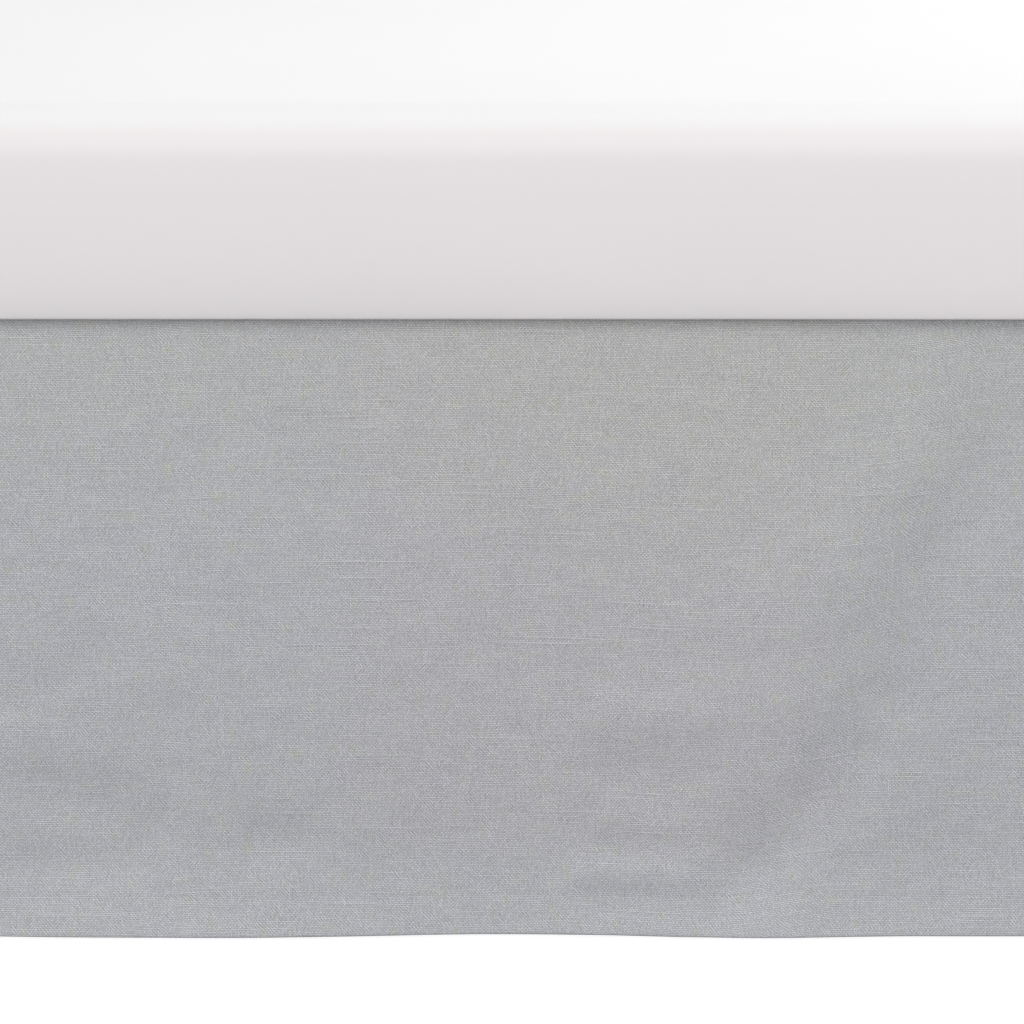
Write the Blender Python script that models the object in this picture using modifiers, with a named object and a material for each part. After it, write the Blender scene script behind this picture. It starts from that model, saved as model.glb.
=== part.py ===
"""A bed skirt on a cot-size bed.

Four hemmed drop panels are sewn round a flat platform panel. The platform lies on a slatted wooden base
under the mattress, and each drop returns a little way over the base's edge and then falls to the floor.
X runs along the bed, the front drop faces -Y, and the floor is z = 0.
"""

import math

import bmesh
import bpy
from mathutils import Vector

# Mattress, in metres
MATTRESS_LENGTH = 1.321
MATTRESS_WIDTH = 0.711
MATTRESS_HEIGHT = 0.140
MATTRESS_TOP_RADIUS = 0.033
MATTRESS_FOOT_RADIUS = 0.003
MATTRESS_CORNER_RADIUS = 0.030
MATTRESS_OVERHANG = 0.010  # how far it stands out past the cloth
ROUNDING_SEGMENTS = 5

# Cloth
CLOTH_THICKNESS = 0.0016
DROP = 0.406  # from the top fold to the hem
HEM_ABOVE_FLOOR = 0.004
HEM_HEIGHT = 0.025
HEM_THICKNESS = 0.0028
HEM_STEP = 0.0015  # height over which the hem thins out to the single cloth
TOP_RETURN = 0.025  # the strip of each drop that lies on the base
FOLD_RADIUS = 0.004  # outer radius where a drop turns over the base's edge
CORNER_SPLIT = 0.002  # each drop stops this far short of the corner line
FOLD_REACH = 0.012  # how far the widest fold of each drop stands out from its flat plane
LEAN = 0.003  # how far a drop leans out at the hem between its folds
FLARE = 0.07  # how steeply the lowest part of a drop flares, all round
FLARE_HEIGHT = 0.054  # above the hem's edge
WAVE_GROWTH = 1.3  # waves grow as this power of the share of the drop that has fallen
CREASE_EASE = 0.25  # share of the drop over which creases set in below the top fold

# Clearances
EDGE_CLEARANCE = 0.002  # hanging cloth to the base's edge
SEAT_GAP = 0.0003  # between pieces that touch

# Base
RAIL_THICKNESS = 0.025
RAIL_HEIGHT = 0.095
LEG_SIDE = 0.050
LEDGER_SIDE = 0.020
SLAT_THICKNESS = 0.012
SLAT_WIDTH = 0.070
SLAT_COUNT = 9
WOOD_EASING = 0.003  # chamfer on every wooden edge

# Grid of a drop panel
FOLD_STEPS = 3
FALL_ROWS = 12
HEM_ROWS = 2

SKIRT_TOP = HEM_ABOVE_FLOOR + DROP
BASE_TOP = SKIRT_TOP - CLOTH_THICKNESS - SEAT_GAP
SKIRT_LENGTH = MATTRESS_LENGTH - 2 * MATTRESS_OVERHANG
SKIRT_WIDTH = MATTRESS_WIDTH - 2 * MATTRESS_OVERHANG
BASE_LENGTH = SKIRT_LENGTH - 2 * (CLOTH_THICKNESS + EDGE_CLEARANCE)
BASE_WIDTH = SKIRT_WIDTH - 2 * (CLOTH_THICKNESS + EDGE_CLEARANCE)

# Waves of a drop, which grow from nothing at the top fold to the hem.
# Columns: place along the drop, half width, how far it stands out at the hem.
FRONT_WAVES = (
    (-0.640, 0.050, 0.004),
    (-0.510, 0.070, 0.008),
    (-0.300, 0.095, 0.006),
    (-0.164, 0.104, 0.008),
    (0.151, 0.090, 0.009),
    (0.340, 0.120, 0.0055),
    (0.530, 0.060, 0.007),
    (0.640, 0.050, 0.003),
)
BACK_WAVES = (
    (-0.640, 0.060, 0.003),
    (-0.400, 0.110, 0.010),
    (-0.110, 0.090, 0.006),
    (0.130, 0.080, 0.011),
    (0.420, 0.120, 0.009),
    (0.645, 0.050, 0.005),
)
RIGHT_WAVES = (
    (-0.340, 0.060, 0.003),
    (-0.110, 0.090, 0.010),
    (0.160, 0.070, 0.006),
    (0.335, 0.050, 0.005),
)
LEFT_WAVES = (
    (-0.335, 0.050, 0.005),
    (-0.190, 0.070, 0.005),
    (0.070, 0.100, 0.011),
    (0.340, 0.060, 0.003),
)

# Creases of a drop: soft ridges (out is positive) and troughs (out is negative) along a straight line.
# Columns: start along the drop, start height, end along the drop, end height, half width, out.
FRONT_CREASES = (
    (0.336, 0.381, 0.232, 0.112, 0.030, -0.0045),
    (0.232, 0.112, 0.165, 0.048, 0.026, -0.0032),
    (0.277, 0.360, 0.165, 0.130, 0.030, 0.0030),
    (-0.300, 0.100, -0.240, 0.075, 0.022, -0.0028),
    (-0.600, 0.370, -0.470, 0.120, 0.035, -0.0035),
    (0.420, 0.350, 0.500, 0.110, 0.030, -0.0030),
    (0.560, 0.300, 0.620, 0.150, 0.025, 0.0022),
)
BACK_CREASES = (
    (-0.560, 0.370, -0.490, 0.130, 0.035, -0.0030),
    (-0.250, 0.330, -0.200, 0.090, 0.030, -0.0028),
    (0.000, 0.360, 0.060, 0.160, 0.032, 0.0024),
    (0.300, 0.350, 0.250, 0.120, 0.032, -0.0034),
    (0.540, 0.280, 0.560, 0.080, 0.028, -0.0022),
)
RIGHT_CREASES = (
    (-0.240, 0.360, -0.200, 0.120, 0.030, -0.0028),
    (0.020, 0.340, 0.060, 0.140, 0.030, -0.0026),
    (0.240, 0.300, 0.250, 0.100, 0.026, 0.0020),
)
LEFT_CREASES = (
    (-0.270, 0.350, -0.250, 0.150, 0.028, 0.0022),
    (-0.080, 0.360, -0.060, 0.120, 0.032, -0.0030),
    (0.200, 0.330, 0.220, 0.100, 0.030, -0.0026),
)

# Columns: name, length of its side, distance between this side's face and the opposite one,
# turn about Z in degrees, columns of its grid, waves, creases
DROP_PANELS = (
    ("drop_front", SKIRT_LENGTH, SKIRT_WIDTH, 0, 44, FRONT_WAVES, FRONT_CREASES),
    ("drop_right", SKIRT_WIDTH, SKIRT_LENGTH, 90, 16, RIGHT_WAVES, RIGHT_CREASES),
    ("drop_back", SKIRT_LENGTH, SKIRT_WIDTH, 180, 30, BACK_WAVES, BACK_CREASES),
    ("drop_left", SKIRT_WIDTH, SKIRT_LENGTH, 270, 16, LEFT_WAVES, LEFT_CREASES),
)

# Finish: colour, roughness
FINISHES = {
    "skirt_cloth": ((0.43, 0.43, 0.45, 1.0), 0.92),
    "platform_cloth": ((0.78, 0.77, 0.75, 1.0), 0.90),
    "mattress_cover": ((0.82, 0.80, 0.80, 1.0), 0.85),
    "base_wood": ((0.62, 0.45, 0.28, 1.0), 0.60),
}


def clear_scene():
    for thing in list(bpy.data.objects):
        bpy.data.objects.remove(thing, do_unlink=True)


def finish(name):
    """The Principled material of that name, made once."""
    found = bpy.data.materials.get(name)
    if found:
        return found
    colour, roughness = FINISHES[name]
    material = bpy.data.materials.new(name)
    material.use_nodes = True
    shader = material.node_tree.nodes["Principled BSDF"]
    shader.inputs["Base Color"].default_value = colour
    shader.inputs["Roughness"].default_value = roughness
    shader.inputs["Metallic"].default_value = 0.0
    return material


def add_piece(name, bm, bed, finish_name, location=(0, 0, 0), turn=0.0):
    """Makes the bmesh an object in the bed's collection, parented to the bed's empty."""
    mesh = bpy.data.meshes.new(name)
    bm.to_mesh(mesh)
    bm.free()
    mesh.materials.append(finish(finish_name))
    piece = bpy.data.objects.new(name, mesh)
    piece.location = location
    piece.rotation_euler.z = turn
    piece.parent = bed
    bed.users_collection[0].objects.link(piece)
    return piece


def add_solidify(piece, thickness):
    """Gives an open sheet its thickness behind its face."""
    shell = piece.modifiers.new("thickness", "SOLIDIFY")
    shell.thickness = thickness
    shell.offset = -1
    shell.use_even_offset = True
    return shell


def wave_out(along, fallen, waves):
    """How far the hem's waves stand out, at a share fallen of the drop."""
    total = LEAN
    for place, half_width, out in waves:
        total += out * math.exp(-(((along - place) / half_width) ** 2))
    return total * fallen**WAVE_GROWTH


def crease_out(along, height, creases):
    """How far the creases stand out at a point of the drop."""
    total = 0.0
    for start, start_height, end, end_height, half_width, out in creases:
        line = Vector((end - start, end_height - start_height))
        point = Vector((along - start, height - start_height))
        share = min(max(point.dot(line) / line.length_squared, 0.0), 1.0)
        apart = (point - line * share).length
        total += out * math.exp(-((apart / half_width) ** 2))
    return total


def flare_out(height):
    """How far the flare of the lowest part stands out, on top of the folds."""
    return FLARE * max(HEM_ABOVE_FLOOR + FLARE_HEIGHT - height, 0.0)


def stand_out(along, height, waves, creases):
    """How far a drop stands out from its flat plane. It never goes behind it, where the base is."""
    fallen = max(SKIRT_TOP - FOLD_RADIUS - height, 0.0) / (DROP - FOLD_RADIUS)
    eased = min(fallen / CREASE_EASE, 1.0)
    return max(wave_out(along, fallen, waves) + eased * crease_out(along, height, creases), 0.0)


def drop_stations():
    """(inset from the drop's face, height, in the hem) from the return's edge down to the hem."""
    stations = [(TOP_RETURN, SKIRT_TOP, False)]
    for step in range(FOLD_STEPS + 1):
        turned = math.radians(90) * step / FOLD_STEPS
        inset = FOLD_RADIUS * (1 - math.sin(turned))
        height = SKIRT_TOP - FOLD_RADIUS * (1 - math.cos(turned))
        stations.append((inset, height, False))
    fall_start = SKIRT_TOP - FOLD_RADIUS
    hem_top = HEM_ABOVE_FLOOR + HEM_HEIGHT
    fall_end = hem_top + HEM_STEP
    for row in range(1, FALL_ROWS + 1):
        stations.append((0.0, fall_start + (fall_end - fall_start) * row / FALL_ROWS, False))
    for row in range(HEM_ROWS + 1):
        stations.append((0.0, hem_top - HEM_HEIGHT * row / HEM_ROWS, True))
    return stations


def drop_panel(bed, name, length, across, turn, columns, waves, creases):
    """One drop: a grid laid over the return, round the fold and down the fall, then given its thickness.

    It is modelled as the front one, facing -Y, and turned to its side.
    """
    stations = drop_stations()
    rows = len(stations) - 1
    bm = bmesh.new()
    bmesh.ops.create_grid(bm, x_segments=columns, y_segments=rows, size=1.0)
    hem_vertices = []
    half = length / 2 - CORNER_SPLIT
    places = [(v, v.co.x, stations[round((1 - v.co.y) / 2 * rows)]) for v in bm.verts]
    outs = {v: stand_out(half * share, station[1], waves, creases) for v, share, station in places}
    reach = FOLD_REACH / max(outs.values())
    for v, share, (inset, height, in_hem) in places:
        out = outs[v] * reach + flare_out(height)
        v.co = (share * (half - inset), -across / 2 + inset - out, height)
        if in_hem:
            hem_vertices.append(v.index)
    bmesh.ops.recalc_face_normals(bm, faces=bm.faces)
    if sum(face.normal.y for face in bm.faces) > 0:
        bmesh.ops.reverse_faces(bm, faces=bm.faces)
    panel = add_piece(name, bm, bed, "skirt_cloth", turn=math.radians(turn))
    single = panel.vertex_groups.new(name="cloth layers")
    single.add(range(len(panel.data.vertices)), CLOTH_THICKNESS / HEM_THICKNESS, "REPLACE")
    single.add(hem_vertices, 1.0, "REPLACE")
    shell = add_solidify(panel, HEM_THICKNESS)
    shell.vertex_group = single.name
    panel.data.shade_smooth()
    return panel


def platform_panel(bed):
    """The flat panel between the four returns."""
    inset = TOP_RETURN + SEAT_GAP
    size = Vector((SKIRT_LENGTH - 2 * inset, SKIRT_WIDTH - 2 * inset, 1.0))
    bm = bmesh.new()
    bmesh.ops.create_grid(bm, x_segments=1, y_segments=1, size=0.5)
    bmesh.ops.scale(bm, vec=size, verts=bm.verts)
    panel = add_piece("platform", bm, bed, "platform_cloth", (0, 0, SKIRT_TOP))
    add_solidify(panel, CLOTH_THICKNESS)
    return panel


def box(size):
    bm = bmesh.new()
    bmesh.ops.create_cube(bm, size=1.0)
    bmesh.ops.scale(bm, vec=Vector(size), verts=bm.verts)
    return bm


def mattress(bed):
    """A box whose upright, top and bottom edges are rounded by their own radii."""
    size = Vector((MATTRESS_LENGTH, MATTRESS_WIDTH, MATTRESS_HEIGHT))
    bm = box(size)
    weight = bm.edges.layers.float.new("bevel_weight_edge")
    for edge in bm.edges:
        heights = [v.co.z for v in edge.verts]
        if min(heights) > 0:
            radius = MATTRESS_TOP_RADIUS
        elif max(heights) < 0:
            radius = MATTRESS_FOOT_RADIUS
        else:
            radius = MATTRESS_CORNER_RADIUS
        edge[weight] = radius / MATTRESS_TOP_RADIUS
    middle = SKIRT_TOP + SEAT_GAP + MATTRESS_HEIGHT / 2
    piece = add_piece("mattress", bm, bed, "mattress_cover", (0, 0, middle))
    rounding = piece.modifiers.new("rounding", "BEVEL")
    rounding.limit_method = "WEIGHT"
    rounding.width = MATTRESS_TOP_RADIUS
    rounding.segments = ROUNDING_SEGMENTS
    piece.data.shade_smooth()
    return piece


def timber(bed, name, size, centre):
    """A plain piece of wood with eased edges."""
    piece = add_piece(name, box(size), bed, "base_wood", centre)
    easing = piece.modifiers.new("easing", "BEVEL")
    easing.width = WOOD_EASING
    easing.segments = 1
    return piece


def rails(bed):
    """Two long rails, and two end rails fitted between them."""
    middle = BASE_TOP - RAIL_HEIGHT / 2
    end_length = BASE_WIDTH - 2 * (RAIL_THICKNESS + SEAT_GAP)
    for name, side in (("rail_front", -1), ("rail_back", 1)):
        place = (0, side * (BASE_WIDTH - RAIL_THICKNESS) / 2, middle)
        timber(bed, name, (BASE_LENGTH, RAIL_THICKNESS, RAIL_HEIGHT), place)
    for name, side in (("rail_left", -1), ("rail_right", 1)):
        place = (side * (BASE_LENGTH - RAIL_THICKNESS) / 2, 0, middle)
        timber(bed, name, (RAIL_THICKNESS, end_length, RAIL_HEIGHT), place)


def leg_place():
    """Distance of a leg's centre from the bed's middle, along X and along Y."""
    inside = RAIL_THICKNESS + SEAT_GAP + LEG_SIDE / 2
    return BASE_LENGTH / 2 - inside, BASE_WIDTH / 2 - inside


def legs(bed):
    """Four posts inside the rails' corners, level with their top."""
    x, y = leg_place()
    for name, side_x, side_y in (
        ("leg_front_left", -1, -1),
        ("leg_front_right", 1, -1),
        ("leg_back_left", -1, 1),
        ("leg_back_right", 1, 1),
    ):
        timber(bed, name, (LEG_SIDE, LEG_SIDE, BASE_TOP), (side_x * x, side_y * y, BASE_TOP / 2))


def slats(bed):
    """Two ledgers between the legs, along the long rails, and the slats that lie across them."""
    span = 2 * (leg_place()[0] - LEG_SIDE / 2 - SEAT_GAP)
    ledger_y = BASE_WIDTH / 2 - RAIL_THICKNESS - SEAT_GAP - LEDGER_SIDE / 2
    ledger_z = BASE_TOP - SLAT_THICKNESS - SEAT_GAP - LEDGER_SIDE / 2
    for name, side in (("ledger_front", -1), ("ledger_back", 1)):
        timber(bed, name, (span, LEDGER_SIDE, LEDGER_SIDE), (0, side * ledger_y, ledger_z))
    slat_length = BASE_WIDTH - 2 * (RAIL_THICKNESS + SEAT_GAP)
    pitch = (span - SLAT_WIDTH) / (SLAT_COUNT - 1)
    for number in range(SLAT_COUNT):
        x = (number - (SLAT_COUNT - 1) / 2) * pitch
        size = (SLAT_WIDTH, slat_length, SLAT_THICKNESS)
        timber(bed, f"slat_{number + 1}", size, (x, 0, BASE_TOP - SLAT_THICKNESS / 2))


def build():
    clear_scene()
    collection = bpy.data.collections.new("bed_skirt")
    bpy.context.scene.collection.children.link(collection)
    bed = bpy.data.objects.new("bed", None)
    collection.objects.link(bed)
    for row in DROP_PANELS:
        drop_panel(bed, *row)
    platform_panel(bed)
    mattress(bed)
    rails(bed)
    legs(bed)
    slats(bed)


build()
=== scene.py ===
import math

import bpy
import numpy as np
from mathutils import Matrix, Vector, noise


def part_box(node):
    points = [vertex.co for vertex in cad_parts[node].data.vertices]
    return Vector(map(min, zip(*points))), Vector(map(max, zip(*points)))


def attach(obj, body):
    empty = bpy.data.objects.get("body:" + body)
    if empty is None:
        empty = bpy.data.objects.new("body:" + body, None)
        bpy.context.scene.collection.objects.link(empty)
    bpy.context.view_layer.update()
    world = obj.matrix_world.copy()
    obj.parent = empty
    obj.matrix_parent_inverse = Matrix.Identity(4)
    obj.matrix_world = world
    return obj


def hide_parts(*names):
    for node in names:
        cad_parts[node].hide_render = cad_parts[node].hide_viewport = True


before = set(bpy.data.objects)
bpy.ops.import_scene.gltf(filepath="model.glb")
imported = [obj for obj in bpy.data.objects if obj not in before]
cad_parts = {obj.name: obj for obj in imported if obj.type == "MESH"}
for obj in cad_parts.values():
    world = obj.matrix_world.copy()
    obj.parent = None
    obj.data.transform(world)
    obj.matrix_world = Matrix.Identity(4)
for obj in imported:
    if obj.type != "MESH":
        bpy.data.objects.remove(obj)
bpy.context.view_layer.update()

scene = bpy.context.scene
print("frame loaded:", len(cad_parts), "nodes")


def deselectAll():
    if bpy.context.mode != "OBJECT":
        bpy.ops.object.mode_set(mode="OBJECT")
    bpy.ops.object.select_all(action="DESELECT")


def makeActive(piece):
    deselectAll()
    piece.select_set(True)
    bpy.context.view_layer.objects.active = piece


def applyModifier(piece, kind, **settings):
    makeActive(piece)
    modifier = piece.modifiers.new(kind.lower(), kind)
    for name, value in settings.items():
        setattr(modifier, name, value)
    bpy.ops.object.modifier_apply(modifier=modifier.name)


def meshPoints(mesh):
    points = np.empty(len(mesh.vertices) * 3, np.float32)
    mesh.vertices.foreach_get("co", points)
    return points.reshape(-1, 3).astype(float)


def movePoints(mesh, points):
    mesh.vertices.foreach_set("co", np.asarray(points, np.float32).ravel())
    mesh.update()


def smoothStep(values, start, end):
    share = np.clip((values - start) / (end - start), 0, 1)
    return share * share * (3 - 2 * share)


# noise of two coordinates, each stretched by its own wavelength
def noiseOver(first, second, wavelengths, seed):
    places = zip(first / wavelengths[0], second / wavelengths[1])
    return np.array([noise.noise(Vector((a, b, seed))) for a, b in places])


# A node's output is linked to a socket, and a number or colour is set on it.
def plug(tree, target, value):
    if isinstance(value, bpy.types.NodeSocket):
        tree.links.new(value, target)
    else:
        target.default_value = value


def calc(tree, operation, *values):
    node = tree.nodes.new("ShaderNodeMath")
    node.operation = operation
    for target, value in zip(node.inputs, values):
        plug(tree, target, value)
    return node.outputs[0]


def joinXyz(tree, *values):
    node = tree.nodes.new("ShaderNodeCombineXYZ")
    for target, value in zip(node.inputs, values):
        plug(tree, target, value)
    return node.outputs[0]


def noiseTexture(tree, vector, scale, detail=0.0, roughness=0.5):
    node = tree.nodes.new("ShaderNodeTexNoise")
    for name, value in (("Vector", vector), ("Scale", scale), ("Detail", detail), ("Roughness", roughness)):
        plug(tree, node.inputs[name], value)
    return node


# noise between -1 and 1
def evenNoise(tree, vector, scale, detail=0.0):
    value = noiseTexture(tree, vector, scale, detail).outputs[0]
    return calc(tree, "MULTIPLY_ADD", value, 2.0, -1.0)


# a random value between 0 and 1 for each whole pair of counts
def whiteNoise(tree, first, second):
    node = tree.nodes.new("ShaderNodeTexWhiteNoise")
    node.noise_dimensions = "2D"
    plug(tree, node.inputs["Vector"], joinXyz(tree, first, second))
    return node.outputs["Value"]


def ramp(tree, value, start, end, low=0.0, high=1.0):
    node = tree.nodes.new("ShaderNodeMapRange")
    node.interpolation_type = "SMOOTHSTEP"
    for target, item in zip(node.inputs, (value, start, end, low, high)):
        plug(tree, target, item)
    return node.outputs[0]


def mixColour(tree, share, first, second):
    node = tree.nodes.new("ShaderNodeMix")
    node.data_type = "RGBA"
    plug(tree, node.inputs["Factor"], share)
    plug(tree, node.inputs["A"], first)
    plug(tree, node.inputs["B"], second)
    return node.outputs["Result"]


def multiplyColours(tree, colour, *others):
    for other in others:
        node = tree.nodes.new("ShaderNodeVectorMath")
        node.operation = "MULTIPLY"
        plug(tree, node.inputs[0], colour)
        plug(tree, node.inputs[1], other)
        colour = node.outputs[0]
    return colour


def newGroup(name, inputs, outputs):
    group = bpy.data.node_groups.new(name, "ShaderNodeTree")
    for socketName, value in inputs:
        kind = "NodeSocketVector" if value is None else "NodeSocketFloat"
        item = group.interface.new_socket(socketName, in_out="INPUT", socket_type=kind)
        if value is not None:
            item.default_value = value
    for socketName in outputs:
        group.interface.new_socket(socketName, in_out="OUTPUT", socket_type="NodeSocketFloat")
    return group, group.nodes.new("NodeGroupInput").outputs, group.nodes.new("NodeGroupOutput").inputs


def placeGroup(tree, group, vector, values):
    node = tree.nodes.new("ShaderNodeGroup")
    node.node_tree = group
    plug(tree, node.inputs["Vector"], vector)
    for name, value in values.items():
        node.inputs[name].default_value = value
    return node.outputs


# Columns: how often the noise turns along the cloth and across it, in a metre or in a yarn, and
# where the noise is cut
weavePlaces = {
    "warpWander": (80.0, 20.0, 1.7),
    "weftWander": (16.0, 90.0, 6.3),
    "weftTone": (40.0, 7.31, 3.7),
    "warpTone": (5.17, 40.0, 9.1),
    "slub": (15.0, 3.91, 21.3),
    "mottle": (48.0, 105.0, 5.5),
    "warmth": (125.0, 95.0, 31.0),
}
weaveDetail = {
    "leanPatches": 100.0,        # turns a metre of the patches where one diagonal is plainer
    "leanRange": (0.25, 0.65),
    "proudPower": 1.5,           # how seldom a crossing is proud, and how much that makes of it
    "proudTone": 2.5,
    "ridgePatches": 60.0,        # turns a metre of the patches where the ridges are plainer
    "ridgeCut": 0.9,
    "ridgeByPlace": 2.0,
    "ridgeByYarn": 2.4,
    "fleckPower": 4.0,           # how seldom a crossing is a fleck, and the mean over them all
    "fleckMean": 0.2,
    "fibresInWarp": 1.45,        # fibres side by side that show in a yarn
    "fibresInWeft": 1.3,
    "nextFibre": -0.5,           # share of the next fibre in each, and the mean over them all
    "fibreMean": 0.25,
    "slubRange": (0.70, 0.84),
    "slubShadow": -0.45,
    "warmByMottle": 0.5,
    "warmByPlace": 1.3,
    "slubHeight": 0.5,
    "weftHeight": 0.12,
}


# Plain weave. The vector is in metres along and across the cloth. Tone is lighter above 0 and
# darker below, and a yarn's middle is where its count is a whole number.
def makeWeaveGroup():
    group, given, result = newGroup(
        "plainWeave",
        (
            ("Vector", None),
            ("Warp Pitch", 0.0011),
            ("Weft Pitch", 0.0011),
            ("Wander", 0.8),
            ("Crossings", 0.1),
            ("Weft Ridges", 0.07),
            ("Warp Ridges", 0.03),
            ("Weft Tone", 0.1),
            ("Warp Tone", 0.05),
            ("Fleck", 0.1),
            ("Fibre", 0.1),
            ("Slub", 0.2),
            ("Mottle", 0.05),
        ),
        ("Tone", "Warmth", "Height"),
    )
    detail = weaveDetail
    split = group.nodes.new("ShaderNodeSeparateXYZ")
    plug(group, split.inputs[0], given["Vector"])
    along, across = split.outputs[0], split.outputs[1]

    def calcHere(operation, *values):
        return calc(group, operation, *values)

    def placeOf(name, first, second):
        oftenFirst, oftenSecond, cut = weavePlaces[name]
        scaled = calcHere("MULTIPLY", first, oftenFirst), calcHere("MULTIPLY", second, oftenSecond)
        return joinXyz(group, *scaled, cut)

    def noiseOf(name, first, second, octaves=1.0):
        return evenNoise(group, placeOf(name, first, second), 1.0, octaves)

    # the yarns lie closer in some places than in others, and each bends slowly on its way
    warpWander = calcHere("MULTIPLY", noiseOf("warpWander", along, across), given["Wander"])
    weftWander = calcHere("MULTIPLY", noiseOf("weftWander", along, across), given["Wander"])
    warpCount = calcHere("ADD", calcHere("DIVIDE", along, given["Warp Pitch"]), warpWander)
    weftCount = calcHere("ADD", calcHere("DIVIDE", across, given["Weft Pitch"]), weftWander)
    warpYarn = calcHere("ROUND", warpCount)
    weftYarn = calcHere("ROUND", weftCount)

    # crossings: each way of the diagonal has its own strength, which shifts over the cloth
    rising = calcHere("COSINE", calcHere("MULTIPLY", calcHere("SUBTRACT", warpCount, weftCount), math.pi))
    falling = calcHere("COSINE", calcHere("MULTIPLY", calcHere("ADD", warpCount, weftCount), math.pi))
    leanNoise = noiseTexture(group, given["Vector"], detail["leanPatches"], 1.0).outputs[0]
    lean = ramp(group, leanNoise, *detail["leanRange"])
    leaning = calcHere("MULTIPLY_ADD", calcHere("SUBTRACT", falling, rising), lean, rising)
    crossing = whiteNoise(group, warpYarn, weftYarn)
    proud = calcHere("MULTIPLY", calcHere("POWER", crossing, detail["proudPower"]), detail["proudTone"])
    tone = calcHere("MULTIPLY", calcHere("MULTIPLY", leaning, proud), given["Crossings"])

    # each yarn has its own tone, which changes along it
    weftTone = noiseOf("weftTone", along, weftYarn)
    warpTone = noiseOf("warpTone", warpYarn, across)
    tone = calcHere("MULTIPLY_ADD", weftTone, given["Weft Tone"], tone)
    tone = calcHere("MULTIPLY_ADD", warpTone, given["Warp Tone"], tone)

    # ridges: painted shade and highlight of the round back of each yarn, lighter along its crest and darker
    # between yarns, plainer in some places and on some yarns than on others
    ridgePlace = joinXyz(group, along, across, detail["ridgeCut"])
    plain = noiseTexture(group, ridgePlace, detail["ridgePatches"], 1.0).outputs[0]
    byPlace = calcHere("MULTIPLY", plain, detail["ridgeByPlace"])
    weftBack = calcHere("COSINE", calcHere("MULTIPLY", weftCount, 2 * math.pi))
    warpBack = calcHere("COSINE", calcHere("MULTIPLY", warpCount, 2 * math.pi))
    for back, yarnTone, name in ((weftBack, weftTone, "Weft Ridges"), (warpBack, warpTone, "Warp Ridges")):
        strength = calcHere("MULTIPLY_ADD", yarnTone, detail["ridgeByYarn"], byPlace)
        tone = calcHere("MULTIPLY_ADD", calcHere("MULTIPLY", back, strength), given[name], tone)

    # a few crossings stand out light, and the fibres within each differ
    light = calcHere("SUBTRACT", calcHere("POWER", crossing, detail["fleckPower"]), detail["fleckMean"])
    tone = calcHere("MULTIPLY_ADD", light, given["Fleck"], tone)
    warpFibre = calcHere("ROUND", calcHere("MULTIPLY", warpCount, detail["fibresInWarp"]))
    weftFibre = calcHere("ROUND", calcHere("MULTIPLY", weftCount, detail["fibresInWeft"]))
    beside = whiteNoise(group, calcHere("ADD", warpFibre, 1.0), weftFibre)
    here = whiteNoise(group, warpFibre, weftFibre)
    fibre = calcHere("MULTIPLY_ADD", beside, detail["nextFibre"], here)
    fibre = calcHere("SUBTRACT", fibre, detail["fibreMean"])
    tone = calcHere("MULTIPLY_ADD", fibre, given["Fibre"], tone)

    # slubs: thick lengths of a weft yarn, lighter, with a painted highlight along the slub's back and a
    # painted shadow line under it
    def slubAt(yarn):
        thickness = noiseTexture(group, placeOf("slub", along, yarn), 1.0, 0.0).outputs[0]
        return ramp(group, thickness, *detail["slubRange"])

    slub = slubAt(weftYarn)
    under = slubAt(calcHere("ADD", weftYarn, 1.0))
    slubTone = calcHere("MULTIPLY_ADD", under, detail["slubShadow"], slub)
    slubTone = calcHere("MULTIPLY", slubTone, calcHere("MULTIPLY_ADD", weftBack, 0.5, 0.5))
    tone = calcHere("MULTIPLY_ADD", slubTone, given["Slub"], tone)

    # mottle: soft flat patches, wider than high, the lighter ones often warmer too
    mottle = noiseOf("mottle", along, across, 2.0)
    plug(group, result["Tone"], calcHere("MULTIPLY_ADD", mottle, given["Mottle"], tone))
    warmPatches = calcHere("MULTIPLY", noiseOf("warmth", along, across), detail["warmByPlace"])
    plug(group, result["Warmth"], calcHere("MULTIPLY_ADD", mottle, detail["warmByMottle"], warmPatches))

    over = calcHere("MULTIPLY", calcHere("ADD", rising, falling), 0.25)
    height = calcHere("MULTIPLY_ADD", slub, detail["slubHeight"], calcHere("ADD", over, 0.5))
    height = calcHere("MULTIPLY_ADD", weftTone, detail["weftHeight"], height)
    plug(group, result["Height"], height)
    return group


grainDetail = {
    "ringStretch": 0.12,         # the rings change this much more slowly along the wood than across it
    "waverTurns": 9.0,
    "fibreAlong": 6.0,           # how often in a metre the fibres change
    "fibreAcross": 420.0,
    "ringShare": 0.6,
    "fibreShare": 0.4,
    "poreRange": (0.62, 0.74),
    "fibreHeight": 0.6,
    "ringHeight": 0.4,
}


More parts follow.
